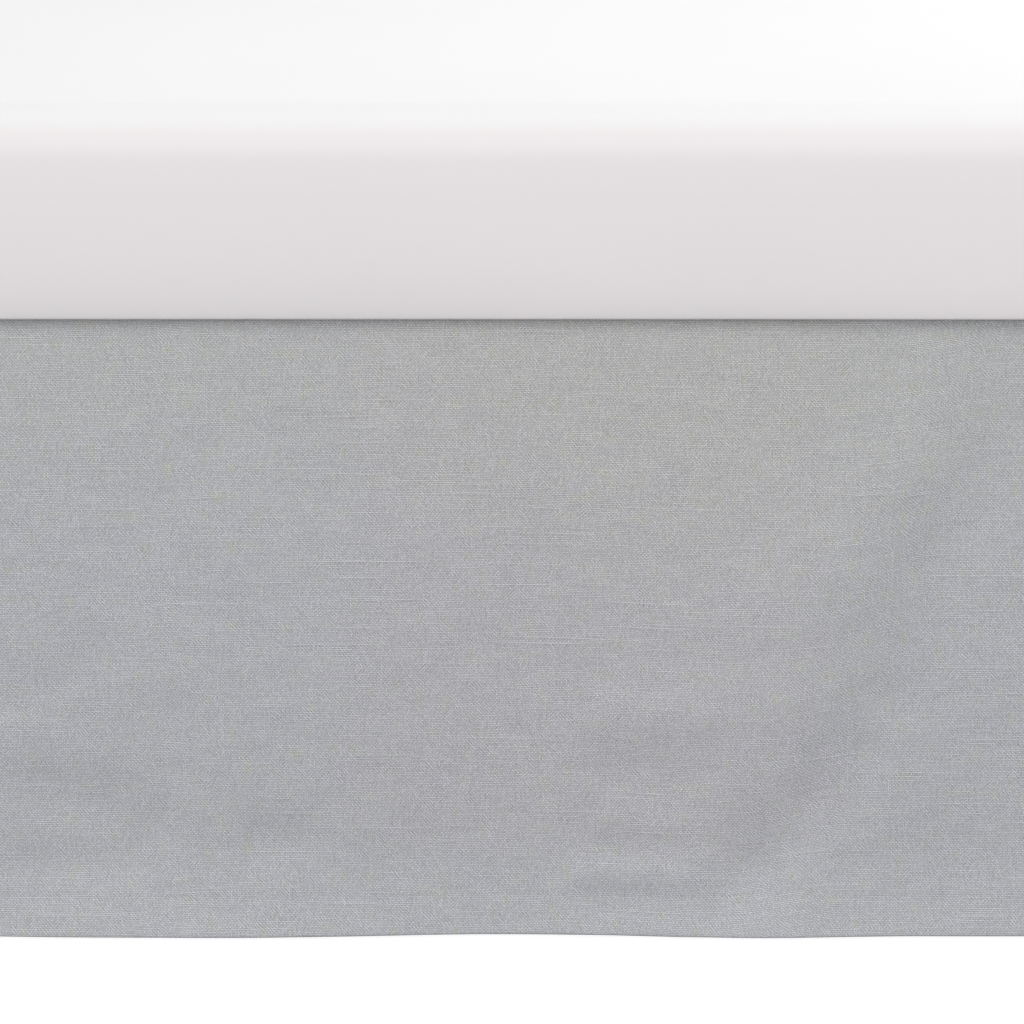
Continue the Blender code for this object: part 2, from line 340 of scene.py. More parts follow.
# Wood grain along the vector's X. Tone is 0 in the dark of the grain and 1 in the light.
def makeGrainGroup():
    group, given, result = newGroup(
        "woodGrain", (("Vector", None), ("Rings", 60.0), ("Waver", 3.0)), ("Tone", "Pores", "Height")
    )
    detail = grainDetail
    split = group.nodes.new("ShaderNodeSeparateXYZ")
    plug(group, split.inputs[0], given["Vector"])
    x, y, z = split.outputs
    stretched = joinXyz(group, calc(group, "MULTIPLY", x, detail["ringStretch"]), y, z)
    waverNoise = evenNoise(group, stretched, detail["waverTurns"], 2.0)
    waver = calc(group, "MULTIPLY", waverNoise, given["Waver"])
    reach = calc(group, "SQRT", calc(group, "MULTIPLY_ADD", y, y, calc(group, "MULTIPLY", z, z)))
    rings = calc(group, "SINE", calc(group, "MULTIPLY_ADD", reach, given["Rings"], waver))
    broad = calc(group, "MULTIPLY_ADD", rings, 0.5, 0.5)
    fibreScale = (detail["fibreAlong"], detail["fibreAcross"], detail["fibreAcross"])
    fibrePlace = [calc(group, "MULTIPLY", part, often) for part, often in zip((x, y, z), fibreScale)]
    fibre = noiseTexture(group, joinXyz(group, *fibrePlace), 1.0, 3.0).outputs[0]
    fibreTone = calc(group, "MULTIPLY", fibre, detail["fibreShare"])
    plug(group, result["Tone"], calc(group, "MULTIPLY_ADD", broad, detail["ringShare"], fibreTone))
    plug(group, result["Pores"], ramp(group, fibre, *detail["poreRange"]))
    ringHeight = calc(group, "MULTIPLY", broad, detail["ringHeight"])
    plug(group, result["Height"], calc(group, "MULTIPLY_ADD", fibre, detail["fibreHeight"], ringHeight))
    return group


weaveGroup = makeWeaveGroup()
grainGroup = makeGrainGroup()


def newMaterial(name):
    material = bpy.data.materials.new(name)
    material.use_nodes = True
    tree = material.node_tree
    return material, tree, tree.nodes["Principled BSDF"]


def bumpFrom(tree, shader, height, distance, strength=1.0):
    bump = tree.nodes.new("ShaderNodeBump")
    bump.inputs["Strength"].default_value = strength
    bump.inputs["Distance"].default_value = distance
    plug(tree, bump.inputs["Height"], height)
    plug(tree, shader.inputs["Normal"], bump.outputs["Normal"])


skirtFinish = {
    "dark": (0.235, 0.235, 0.235, 1),
    "light": (0.659, 0.659, 0.659, 1),
    # painted light tints: the cloth is plainer near its top, cooler lower down for the floor's bluish
    # light, rosier in its middle
    "plainTint": (1.0, 1.0, 0.981, 1),     # the cloth is multiplied by this near its top
    "coolTint": (1.0, 1.0, 1.033, 1),      # by this lower down
    "roseTint": (1.011, 1.0, 1.0, 1),      # by this again in its middle
    "greenTint": (0.995, 1.0, 1.0, 1),     # and by this toward its ends and its hem
    "warmPatch": (0.989, 1.0, 0.925, 1),
    "coolPatch": (1.002, 1.0, 1.022, 1),
    "plainMiddle": 0.15,                   # the middle of the plain tint, and how fast it fades
    "fadeRight": 4.0,
    "fadeLeft": -2.6,
    "fadeDown": 3.2,
    "fadeDownStart": -0.06,
    "fadeRange": (0.05, 0.95),
    "topBand": (0.03, 0.20),               # and the band along the whole top that is plainer
    "topBandCool": 0.3,
    "roseMiddle": 0.05,
    "roseAside": (0.04, 0.26),
    "roseDown": (0.34, 0.41),
    "warmRange": (-0.1, 0.9),
    "roughness": 0.9,
    "specular": 0.2,
    "sheen": 0.08,
    "sheenRoughness": 0.5,
    "bump": 0.00025,
    "weave": {
        "Warp Pitch": 0.00111,
        "Weft Pitch": 0.00115,
        "Wander": 1.15,
        "Crossings": 0.168,
        # the ridges are painted shade and highlight on each yarn's round back
        "Weft Ridges": 0.19,
        "Warp Ridges": 0.045,
        "Weft Tone": 0.065,
        "Warp Tone": 0.05,
        "Fleck": 0.06,
        "Fibre": 0.25,
        "Slub": 0.22,
        "Mottle": 0.07,
    },
}


# painted light tint: plainer near the top, cooler lower down for the floor's bluish light, rosier in the
# middle than toward the edges
def paintedLightTintOver(tree, along, fallen):
    finish = skirtFinish
    toRight = calc(tree, "SUBTRACT", along, finish["plainMiddle"])
    sides = [calc(tree, "MULTIPLY", toRight, finish[name]) for name in ("fadeRight", "fadeLeft")]
    aside = calc(tree, "MAXIMUM", *sides)
    down = calc(tree, "MULTIPLY_ADD", fallen, finish["fadeDown"], finish["fadeDownStart"])
    away = calc(tree, "SQRT", calc(tree, "MULTIPLY_ADD", aside, aside, calc(tree, "MULTIPLY", down, down)))
    band = ramp(tree, fallen, *finish["topBand"], finish["topBandCool"], 1.0)
    cool = calc(tree, "MULTIPLY", ramp(tree, away, *finish["fadeRange"]), band)
    apart = calc(tree, "ABSOLUTE", calc(tree, "SUBTRACT", along, finish["roseMiddle"]))
    roseAside = ramp(tree, apart, *finish["roseAside"], 1.0, 0.0)
    rosy = calc(tree, "MULTIPLY", roseAside, ramp(tree, fallen, *finish["roseDown"], 1.0, 0.0))
    broad = mixColour(tree, cool, finish["plainTint"], finish["coolTint"])
    return broad, mixColour(tree, rosy, finish["greenTint"], finish["roseTint"])


def makeSkirtCloth():
    material, tree, shader = newMaterial("skirtCloth")
    finish = skirtFinish
    uv = tree.nodes.new("ShaderNodeUVMap")
    uv.uv_map = "weave"
    weave = placeGroup(tree, weaveGroup, uv.outputs[0], finish["weave"])
    share = calc(tree, "ADD", weave["Tone"], 0.5)
    grey = mixColour(tree, share, finish["dark"], finish["light"])
    split = tree.nodes.new("ShaderNodeSeparateXYZ")
    plug(tree, split.inputs[0], uv.outputs[0])
    tints = paintedLightTintOver(tree, split.outputs[0], calc(tree, "MULTIPLY", split.outputs[1], -1.0))
    warm = ramp(tree, weave["Warmth"], *finish["warmRange"])
    patch = mixColour(tree, warm, finish["coolPatch"], finish["warmPatch"])
    plug(tree, shader.inputs["Base Color"], multiplyColours(tree, grey, *tints, patch))
    shader.inputs["Roughness"].default_value = finish["roughness"]
    shader.inputs["Specular IOR Level"].default_value = finish["specular"]
    shader.inputs["Sheen Weight"].default_value = finish["sheen"]
    shader.inputs["Sheen Roughness"].default_value = finish["sheenRoughness"]
    bumpFrom(tree, shader, weave["Height"], finish["bump"], 0.5)
    return material


platformFinish = {
    "dark": (0.66, 0.65, 0.62, 1),
    "light": (0.88, 0.87, 0.84, 1),
    "roughness": 0.9,
    "bump": 0.00015,
    "weave": {"Warp Pitch": 0.0007, "Weft Pitch": 0.0007, "Slub": 0.05},
}


def makePlatformCloth():
    material, tree, shader = newMaterial("platformCloth")
    finish = platformFinish
    place = tree.nodes.new("ShaderNodeTexCoord").outputs["Object"]
    weave = placeGroup(tree, weaveGroup, place, finish["weave"])
    share = calc(tree, "ADD", weave["Tone"], 0.5)
    plug(tree, shader.inputs["Base Color"], mixColour(tree, share, finish["dark"], finish["light"]))
    shader.inputs["Roughness"].default_value = finish["roughness"]
    bumpFrom(tree, shader, weave["Height"], finish["bump"], 0.5)
    return material


# Ranges are depths below the top.
coverFinish = {
    # painted light: the top is plainer and a shade lighter than the sides, for the brighter light that
    # falls on it
    "side": (0.775, 0.741, 0.744, 1),
    "top": (0.791, 0.791, 0.792, 1),
    "topRange": (0.022, 0.010),
    # the painted shade round the top's rounded edge: where it sets in and fades, and how dark it is
    "edgeRange": (0.030, 0.018),   # where the darker edge sets in, and from where it fades again
    "edgeEnd": 0.006,
    "paintedEdgeShade": -0.036,
    "softTurns": 7.0,
    "softTone": 0.010,
    "napTurns": 700.0,
    "napTone": 0.006,
    "roughness": 0.85,
    "specular": 0.2,
    "bump": 0.00004,
}


def makeMattressCover(topHeight):
    material, tree, shader = newMaterial("mattressCover")
    finish = coverFinish
    place = tree.nodes.new("ShaderNodeTexCoord").outputs["Object"]
    split = tree.nodes.new("ShaderNodeSeparateXYZ")
    plug(tree, split.inputs[0], place)
    height = split.outputs[2]
    soft = evenNoise(tree, place, finish["softTurns"], 2.0)
    nap = evenNoise(tree, place, finish["napTurns"], 2.0)
    # painted light: the top is painted plainer and a shade lighter than the sides, for the brighter light
    # on it
    topShare = ramp(tree, height, *[topHeight - depth for depth in finish["topRange"]])
    base = mixColour(tree, topShare, finish["side"], finish["top"])
    # painted shade: the cover is painted a shade darker round the rounded edge of the top, which catches
    # less light
    below = ramp(tree, height, *[topHeight - depth for depth in finish["edgeRange"]])
    above = ramp(tree, height, topHeight - finish["edgeEnd"], topHeight, 1.0, 0.0)
    tone = calc(tree, "MULTIPLY_ADD", soft, finish["softTone"], 1.0)
    tone = calc(tree, "MULTIPLY_ADD", nap, finish["napTone"], tone)
    tone = calc(tree, "MULTIPLY_ADD", calc(tree, "MULTIPLY", below, above), finish["paintedEdgeShade"], tone)
    tint = tree.nodes.new("ShaderNodeVectorMath")
    tint.operation = "SCALE"
    plug(tree, tint.inputs[0], base)
    plug(tree, tint.inputs["Scale"], tone)
    plug(tree, shader.inputs["Base Color"], tint.outputs[0])
    shader.inputs["Roughness"].default_value = finish["roughness"]
    shader.inputs["Specular IOR Level"].default_value = finish["specular"]
    bumpFrom(tree, shader, nap, finish["bump"], 0.5)
    return material


pineFinish = {
    "dark": (0.42, 0.26, 0.13, 1),
    "light": (0.66, 0.47, 0.28, 1),
    "pore": (0.30, 0.18, 0.09, 1),
    "poreShare": 0.35,
    "roughness": 0.48,           # in the dark of the grain, and how much rougher the light is
    "lightRougher": 0.12,
    "bump": 0.0003,
    "bumpStrength": 0.4,
    "grain": {"Rings": 900.0, "Waver": 7.0},
}

# Columns: name, turn of the mapping that lays the piece's length along the grain's X
grainWays = (
    ("pineAlongX", (0, 0, 0)),
    ("pineAlongY", (0, 0, math.radians(90))),
    ("pineAlongZ", (0, math.radians(90), 0)),
)


def makePine(name, turn):
    material, tree, shader = newMaterial(name)
    finish = pineFinish
    place = tree.nodes.new("ShaderNodeTexCoord").outputs["Object"]
    mapping = tree.nodes.new("ShaderNodeMapping")
    plug(tree, mapping.inputs["Vector"], place)
    mapping.inputs["Rotation"].default_value = turn
    grain = placeGroup(tree, grainGroup, mapping.outputs[0], finish["grain"])
    colour = mixColour(tree, grain["Tone"], finish["dark"], finish["light"])
    poreShare = calc(tree, "MULTIPLY", grain["Pores"], finish["poreShare"])
    plug(tree, shader.inputs["Base Color"], mixColour(tree, poreShare, colour, finish["pore"]))
    roughness = calc(tree, "MULTIPLY_ADD", grain["Tone"], finish["lightRougher"], finish["roughness"])
    plug(tree, shader.inputs["Roughness"], roughness)
    bumpFrom(tree, shader, grain["Height"], finish["bump"], finish["bumpStrength"])
    return material


makeSkirtCloth()
makePlatformCloth()
pine = [makePine(name, turn) for name, turn in grainWays]
print("materials made")


# The front drop faces -Y, and its hem is the object's lowest cloth. What else a drop needs is
# read off the frame.
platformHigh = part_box("platform")[1]
frontLow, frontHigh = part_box("drop_front")
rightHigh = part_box("drop_right")[1]
skirt = {
    "thickness": 0.0013,
    "layerGap": 0.0003,       # between touching pieces and between the layers of a hem
    "topReturn": 0.025,       # the strip of a drop that lies on the base
    "foldRadius": 0.004,      # outer radius where a drop turns over the base's edge
    "hemDepth": 0.025,
    "hemReach": 0.012,        # how far the widest fold stands out from the flat plane
    "lean": 0.002,            # how far a drop leans out at the hem between its folds
    "spring": 0.0015,         # how far it springs out just below the top fold, and over which drop
    "springDrop": 0.012,
    "waveGrowth": 1.3,        # waves grow as this power of the share of the drop that has fallen
    "kick": 0.35,             # share of a wave that comes only in the lowest share of the drop
    "kickShare": 0.115,
    "kickGrowth": 1.5,
    "creaseEase": 0.25,       # share of the drop over which creases set in below the top fold
    "sideHem": 0.012,         # width of the narrow hem up each side of a drop
    "sideHemOut": 0.0005,     # how far its layers stand out, and over which width that sets in
    "sideHemEase": 0.0015,
    "flare": 0.10,            # how steeply the lowest part flares, from which height, how softly
    "flareFrom": 0.054,
    "flareEase": 0.007,
    "hemFlare": 0.060,        # and the hem's lower half again
    "hemFlareFrom": 0.019,
    "hemFlareEase": 0.002,
    "hemDip": 0.00022,        # the shallow line that the hem's sewing pulls in, and its half width
    "hemDipWidth": 0.0022,
    "uneven": 0.0005,         # small unevenness of the hanging cloth
    "unevenBroad": (0.055, 0.040),   # its wavelengths along and up, broad and fine
    "unevenFine": (0.030, 0.013),
    "unevenFineShare": 0.35,
    "returnRows": 4,          # rows of cells on the strip that lies on the base
    "turnRows": 8,            # round the top fold
    "closeRows": 20,          # in the closer part, which starts this far above the hem's sewing
    "closeAbove": 0.008,
    "edgeRows": 8,            # round the hem's edge
    "innerRows": 5,           # up the hem's inner layer
}
skirtTop = platformHigh.z
hemHeight = frontLow.z
foldStart = skirtTop - skirt["foldRadius"]
seatInset = skirt["topReturn"] + skirt["layerGap"]
skirtWidth = 2 * (platformHigh.y + seatInset)
skirtLength = 2 * (platformHigh.x + seatInset)

# Waves of a drop, which grow from nothing at the top fold to the hem.
# Columns: place along the drop, half width, how far it stands out at the hem.
frontWaves = (
    (-0.640, 0.050, 0.004),
    (-0.510, 0.070, 0.008),
    (-0.300, 0.095, 0.006),
    (-0.164, 0.104, 0.008),
    (0.151, 0.090, 0.009),
    (0.340, 0.120, 0.0055),
    (0.530, 0.060, 0.007),
    (0.640, 0.050, 0.003),
)
backWaves = (
    (-0.640, 0.060, 0.003),
    (-0.400, 0.110, 0.010),
    (-0.110, 0.090, 0.006),
    (0.130, 0.080, 0.011),
    (0.420, 0.120, 0.009),
    (0.645, 0.050, 0.005),
)
rightWaves = (
    (-0.340, 0.060, 0.003),
    (-0.110, 0.090, 0.010),
    (0.160, 0.070, 0.006),
    (0.335, 0.050, 0.005),
)
leftWaves = (
    (-0.335, 0.050, 0.005),
    (-0.190, 0.070, 0.005),
    (0.070, 0.100, 0.011),
    (0.340, 0.060, 0.003),
)

# Creases of a drop: soft ridges (out is positive) and troughs (out is negative) along a straight line.
# Columns: start along the drop, start height, end along the drop, end height, half width, out.
frontCreases = (
    (0.281, 0.392, 0.219, 0.262, 0.045, 0.0030),
    (0.200, 0.225, 0.184, 0.165, 0.045, 0.0030),
    (0.222, 0.122, 0.163, 0.056, 0.025, -0.0032),
    (-0.300, 0.100, -0.240, 0.075, 0.022, -0.0028),
    (-0.600, 0.370, -0.470, 0.120, 0.035, -0.0035),
    (0.420, 0.350, 0.500, 0.110, 0.030, -0.0030),
    (0.560, 0.300, 0.620, 0.150, 0.025, 0.0022),
)
backCreases = (
    (-0.560, 0.370, -0.490, 0.130, 0.035, -0.0030),
    (-0.250, 0.330, -0.200, 0.090, 0.030, -0.0028),
    (0.000, 0.360, 0.060, 0.160, 0.032, 0.0024),
    (0.300, 0.350, 0.250, 0.120, 0.032, -0.0034),
    (0.540, 0.280, 0.560, 0.080, 0.028, -0.0022),
)
rightCreases = (
    (-0.240, 0.360, -0.200, 0.120, 0.030, -0.0028),
    (0.020, 0.340, 0.060, 0.140, 0.030, -0.0026),
    (0.240, 0.300, 0.250, 0.100, 0.026, 0.0020),
)
leftCreases = (
    (-0.270, 0.350, -0.250, 0.150, 0.028, 0.0022),
    (-0.080, 0.360, -0.060, 0.120, 0.032, -0.0030),
    (0.200, 0.330, 0.220, 0.100, 0.030, -0.0026),
)

# Smaller dents and bumps of the front, in the creases' columns.
frontDents = (
    (0.344, 0.390, 0.278, 0.270, 0.024, -0.0020),
    (0.268, 0.240, 0.244, 0.165, 0.026, -0.0020),
    (0.066, 0.150, 0.116, 0.147, 0.017, 0.0022),
    (0.070, 0.108, 0.110, 0.106, 0.016, -0.0016),
    (0.062, 0.080, 0.098, 0.074, 0.008, 0.0010),
    (0.050, 0.045, 0.108, 0.043, 0.010, 0.0022),
    (0.158, 0.042, 0.128, 0.021, 0.016, -0.0021),
    (-0.335, 0.152, -0.265, 0.190, 0.014, -0.0012),
    (-0.300, 0.120, -0.270, 0.124, 0.016, 0.0008),
    (-0.310, 0.048, -0.250, 0.051, 0.016, -0.0019),
    (-0.165, 0.066, -0.140, 0.064, 0.016, -0.0020),
)

# How the crosswise yarns drift off the level.
# Columns: where the rise starts and ends along the drop at its top, how far that place moves
# along the drop for each metre down, how far the yarns rise (or fall, below zero).
frontDrift = (
    (-0.255, -0.185, 0.00, 0.0022),
    (-0.036, 0.180, 0.00, -0.0042),
    (0.240, 0.330, -0.30, 0.0088),
)
plainDrift = (
    (-0.300, -0.050, 0.10, 0.0030),
    (0.050, 0.350, -0.10, -0.0035),
)

# Columns: side, distance between this side's face and the opposite one, half its length,
# turn about Z in degrees, width of a cell, waves, creases, dents, drift
dropPanels = (
    ("front", skirtWidth, frontHigh.x, 0, 0.005, frontWaves, frontCreases, frontDents, frontDrift),
    ("right", skirtLength, rightHigh.y, 90, 0.007, rightWaves, rightCreases, (), plainDrift),
    ("back", skirtWidth, frontHigh.x, 180, 0.007, backWaves, backCreases, (), plainDrift),
    ("left", skirtLength, rightHigh.y, 270, 0.007, leftWaves, leftCreases, (), plainDrift),
)


def wavesOut(along, fallen, waves):
    total = np.full_like(along, skirt["lean"])
    for place, halfWidth, out in waves:
        total += out * np.exp(-(((along - place) / halfWidth) ** 2))
    kick = np.maximum(1 - (1 - fallen) / skirt["kickShare"], 0) ** skirt["kickGrowth"]
    return total * ((1 - skirt["kick"]) * fallen ** skirt["waveGrowth"] + skirt["kick"] * kick)


def creasesOut(along, height, creases):
    total = np.zeros_like(along)
    for start, startHeight, end, endHeight, halfWidth, out in creases:
        run, rise = end - start, endHeight - startHeight
        share = ((along - start) * run + (height - startHeight) * rise) / (run**2 + rise**2)
        share = np.clip(share, 0, 1)
        apart = np.hypot(along - start - share * run, height - startHeight - share * rise)
        total += out * np.exp(-((apart / halfWidth) ** 2))
    return total


def standOut(along, height, waves, creases, dents, seed):
    fallen = np.maximum(foldStart - height, 0) / (foldStart - hemHeight)
    eased = np.minimum(fallen / skirt["creaseEase"], 1)
    out = np.maximum(wavesOut(along, fallen, waves) + eased * creasesOut(along, height, creases), 0)
    out *= skirt["hemReach"] / out.max()
    out += skirt["spring"] * (1 - np.exp(-np.maximum(foldStart - height, 0) / skirt["springDrop"]))
    out += eased * creasesOut(along, height, dents)
    broad = noiseOver(along, height, skirt["unevenBroad"], seed)
    fine = noiseOver(along, height, skirt["unevenFine"], seed + 11)
    return out + eased * skirt["uneven"] * (broad + skirt["unevenFineShare"] * fine)


# a slope that sets in softly below a height
def softRamp(up, start, ease):
    return ease * np.logaddexp(0, (start - up) / ease)


# the line that the hem's sewing pulls in, and the flare of the lowest part, by height above the edge
def hemRelief(up):
    dip = np.exp(-(((up - skirt["hemDepth"]) / skirt["hemDipWidth"]) ** 2))
    flare = skirt["flare"] * softRamp(up, skirt["flareFrom"], skirt["flareEase"])
    hemFlare = skirt["hemFlare"] * softRamp(up, skirt["hemFlareFrom"], skirt["hemFlareEase"])
    return flare + hemFlare - skirt["hemDip"] * dip


# (inset from the drop's face, height, distance walked) down the outer face, round the hem's edge
# and up its inner layer
def dropStations(cell):
    radius = skirt["foldRadius"]
    hemTurn = skirt["thickness"] + skirt["layerGap"] / 2
    hemEnd = hemHeight + hemTurn
    hemTop = hemHeight + skirt["hemDepth"]
    closeFrom = hemTop + skirt["closeAbove"]
    rows = round((foldStart - closeFrom) / cell)
    insets = np.linspace(skirt["topReturn"], radius, skirt["returnRows"] + 1)[:-1]
    stations = [(inset, skirtTop) for inset in insets]
    for turned in np.linspace(0, math.pi / 2, skirt["turnRows"] + 1):
        stations.append((radius * (1 - math.sin(turned)), skirtTop - radius * (1 - math.cos(turned))))
    stations += [(0, height) for height in np.linspace(foldStart, closeFrom, rows + 1)[1:]]
    stations += [(0, height) for height in np.linspace(closeFrom, hemEnd, skirt["closeRows"] + 1)[1:]]
    for turned in np.linspace(0, math.pi, skirt["edgeRows"] + 1)[1:]:
        stations.append((hemTurn * (1 - math.cos(turned)), hemEnd - hemTurn * math.sin(turned)))
    innerHeights = np.linspace(hemEnd, hemTop, skirt["innerRows"] + 1)[1:]
    stations += [(2 * hemTurn, height) for height in innerHeights]
    stations = np.array(stations)
    steps = np.hypot(*np.diff(stations, axis=0).T)
    return np.column_stack((stations, np.concatenate(([0], np.cumsum(steps)))))


def yarnDrift(along, height, drifts):
    lift = np.zeros_like(along)
    for start, end, slant, rise in drifts:
        moved = slant * (skirtTop - height)
        lift += rise * smoothStep(along - moved, start, end)
    return lift


def hangDrop(side, across, half, turn, cell, waves, creases, dents, drifts):
    stations = dropStations(cell)
    rows = len(stations) - 1
    deselectAll()
    columns = round(2 * half / cell)
    bpy.ops.mesh.primitive_grid_add(x_subdivisions=columns, y_subdivisions=rows, size=2)
    drop = bpy.context.object
    drop.name = "skirtDrop" + side.capitalize()
    mesh = drop.data
    flat = meshPoints(mesh)
    inset, height, walked = stations[np.rint((1 - flat[:, 1]) / 2 * rows).astype(int)].T
    falling = height < foldStart
    along = flat[:, 0] * (half - np.where(falling, 0, inset))
    out = standOut(along, height, waves, creases, dents, turn / 10)
    sideHemFrom = half - skirt["sideHem"]
    sideHem = smoothStep(np.abs(along), sideHemFrom - skirt["sideHemEase"], sideHemFrom)
    out += np.where(falling, hemRelief(height - hemHeight) + skirt["sideHemOut"] * sideHem, 0)
    movePoints(mesh, np.column_stack((along, inset - out - across / 2, height)))

    layer = mesh.uv_layers[0]
    layer.name = "weave"
    corners = np.empty(len(mesh.loops), np.int32)
    mesh.loops.foreach_get("vertex_index", corners)
    woven = np.column_stack((along, -walked - yarnDrift(along, height, drifts)))[corners]
    layer.data.foreach_set("uv", woven.astype(np.float32).ravel())

    makeActive(drop)
    bpy.ops.object.mode_set(mode="EDIT")
    bpy.ops.mesh.select_all(action="SELECT")
    bpy.ops.transform.rotate(value=-math.radians(turn), orient_axis="Z", center_override=(0, 0, 0))
    bpy.ops.object.mode_set(mode="OBJECT")
    applyModifier(drop, "SOLIDIFY", thickness=skirt["thickness"], offset=-1)
    makeActive(drop)
    bpy.ops.object.shade_smooth()
    mesh.materials.clear()
    mesh.materials.append(bpy.data.materials["skirtCloth"])
    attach(drop, "root")
    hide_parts("drop_" + side)
    return drop


for panel in dropPanels:
    hangDrop(*panel)
    print("drop hung:", panel[0])


platform = {
    "cells": (64, 34),
    "sag": 0.0006,
    "sagWavelengths": (0.075, 0.11),
    "restsOn": ["slat_1", "slat_5", "slat_9", "rail_front", "rail_back"],
}


def layPlatform():
    deselectAll()
    columns, rows = platform["cells"]
    bpy.ops.mesh.primitive_grid_add(x_subdivisions=columns, y_subdivisions=rows, size=2)
    sheet = bpy.context.object
    sheet.name = "skirtPlatform"
    points = meshPoints(sheet.data)
    x, y = points[:, 0] * platformHigh.x, points[:, 1] * platformHigh.y
    dip = platform["sag"] * np.abs(noiseOver(x, y, platform["sagWavelengths"], seed=4.5))
    movePoints(sheet.data, np.column_stack((x, y, skirtTop - dip)))
    applyModifier(sheet, "SOLIDIFY", thickness=skirt["thickness"], offset=-1)
    makeActive(sheet)
    bpy.ops.object.shade_smooth()
    sheet.data.materials.clear()
    sheet.data.materials.append(bpy.data.materials["platformCloth"])
    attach(sheet, "root")
    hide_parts("platform")


layPlatform()
print("platform laid")


mattressLow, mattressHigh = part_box("mattress")
mattress = {
    "cornerRadius": 0.030,
    "topRadius": 0.033,
    "footRadius": 0.0015,
    "cell": 0.020,
    "crown": 0.004,           # how far the middle of the top rises
    "sidePillow": 0.0020,     # how far the middle of a side bulges
    "footPull": 0.0032,       # how far the foot of a side draws in, and over which height it fades
    "footPullFade": 0.012,
    "footPullRight": 0.70,    # share of it at the right end
    "waver": 0.0009,          # slow unevenness of the cover
    "waverWavelength": 0.19,
    "edgeSteps": 10,          # cells round each rounded edge
    "footCuts": (0.005, 0.009, 0.014, 0.021, 0.030, 0.042, 0.056, 0.072),
    "crownFrom": 0.4,         # share of the height from which the top's rise sets in
    "pullRange": (0.12, 0.30),    # from where to where the foot's pull comes down to the right
    "sideBand": (0.05, 0.01),     # how far in from a side its bulge and pull set in and are whole
    "stillFoot": (0.01, 0.03),    # heights over which the cover's unevenness sets in
    "waverSides": (0.8, 1.0),     # and shares of the half width over which the sides' does
}


# cuts the whole mesh across one axis at each of the places
def cutAcross(axis, places):
    normal = [0, 0, 0]
    normal[axis] = 1
    for place in places:
        point = [0, 0, 0]
        point[axis] = place
        bpy.ops.mesh.select_all(action="SELECT")
        bpy.ops.mesh.bisect(plane_co=point, plane_no=normal, threshold=1e-5)


# brings the square corners of the foot in to the round ones above them
def roundFootCorners(points, size, foot):
    corner, fine = mattress["cornerRadius"], mattress["footRadius"]
    over = np.maximum(np.abs(points[:, :2]) - np.array(size[:2]) / 2 + corner, 0)
    short = np.clip(fine - (points[:, 2] - foot), 0, fine)
    reach = corner - fine + np.sqrt(fine**2 - short**2)
    excess = 1 - 1 / np.maximum(np.hypot(over[:, 0], over[:, 1]) / reach, 1)
    points[:, :2] -= np.sign(points[:, :2]) * over * excess[:, None]


def makeMattress():
    size = mattressHigh - mattressLow
    size.z -= mattress["crown"]
    deselectAll()
    bpy.ops.mesh.primitive_cube_add(size=1, location=(0, 0, 0))
    piece = bpy.context.object
    piece.name = "mattressPad"
    bpy.ops.object.mode_set(mode="EDIT")
    bpy.ops.mesh.select_all(action="SELECT")
    bpy.ops.transform.resize(value=size, center_override=(0, 0, 0))
    bpy.ops.object.mode_set(mode="OBJECT")
    weights = piece.data.attributes.new("bevel_weight_edge", "FLOAT", "EDGE")
    for edge in piece.data.edges:
        heights = [piece.data.vertices[index].co.z for index in edge.vertices]
        if min(heights) > 0:
            radius = mattress["topRadius"]
        elif max(heights) < 0:
            radius = mattress["footRadius"]
        else:
            radius = mattress["cornerRadius"]
        weights.data[edge.index].value = radius / mattress["topRadius"]
    steps = mattress["edgeSteps"]
    applyModifier(piece, "BEVEL", limit_method="WEIGHT", width=mattress["topRadius"], segments=steps)
    makeActive(piece)
    bpy.ops.object.mode_set(mode="EDIT")
    foot = -size.z / 2
    inner = size / 2 - Vector((mattress["topRadius"],) * 3)
    for axis in (0, 1):
        count = round(2 * inner[axis] / mattress["cell"])
        cutAcross(axis, np.linspace(-inner[axis], inner[axis], count + 1)[1:-1])
    cutAcross(2, [foot + up for up in mattress["footCuts"]])
    bpy.ops.object.mode_set(mode="OBJECT")

    points = meshPoints(piece.data)
    roundFootCorners(points, size, foot)
    x, y, z = points.T
    shareX, shareY = np.abs(x) / (size.x / 2), np.abs(y) / (size.y / 2)
    up = z - foot
    rising = smoothStep(up, mattress["crownFrom"] * size.z, size.z)
    rise = mattress["crown"] * (1 - shareX**4) * (1 - shareY**2) * rising
    sideShare = np.clip(2 * up / size.z - 1, -1, 1)
    pillow = mattress["sidePillow"] * (1 - sideShare**2)
    pull = mattress["footPull"] * np.exp(-up / mattress["footPullFade"])
    pull *= 1 - (1 - mattress["footPullRight"]) * smoothStep(x, *mattress["pullRange"])
    outward = pillow - pull
    for column, share in ((0, shareX), (1, shareY)):
        halfSize = size[column] / 2
        near = smoothStep(share * size[column] / 2, *[halfSize - inward for inward in mattress["sideBand"]])
        points[:, column] += np.sign(points[:, column]) * outward * near
    length = mattress["waverWavelength"]
    shift = mattress["waver"] * noiseOver(x + z, y - z, (length, length), seed=8.5)
    above = smoothStep(up, *mattress["stillFoot"])
    points[:, 2] += rise + shift * above
    points[:, 1] += shift * smoothStep(shareY, *mattress["waverSides"]) * np.sign(y) * above
    points += np.array((0, 0, mattressLow.z + size.z / 2))
    movePoints(piece.data, points)
    makeActive(piece)
    bpy.ops.object.shade_smooth()
    piece.data.materials.clear()
    piece.data.materials.append(makeMattressCover(mattressHigh.z))
    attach(piece, "root")
    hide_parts("mattress")


makeMattress()
print("mattress made")


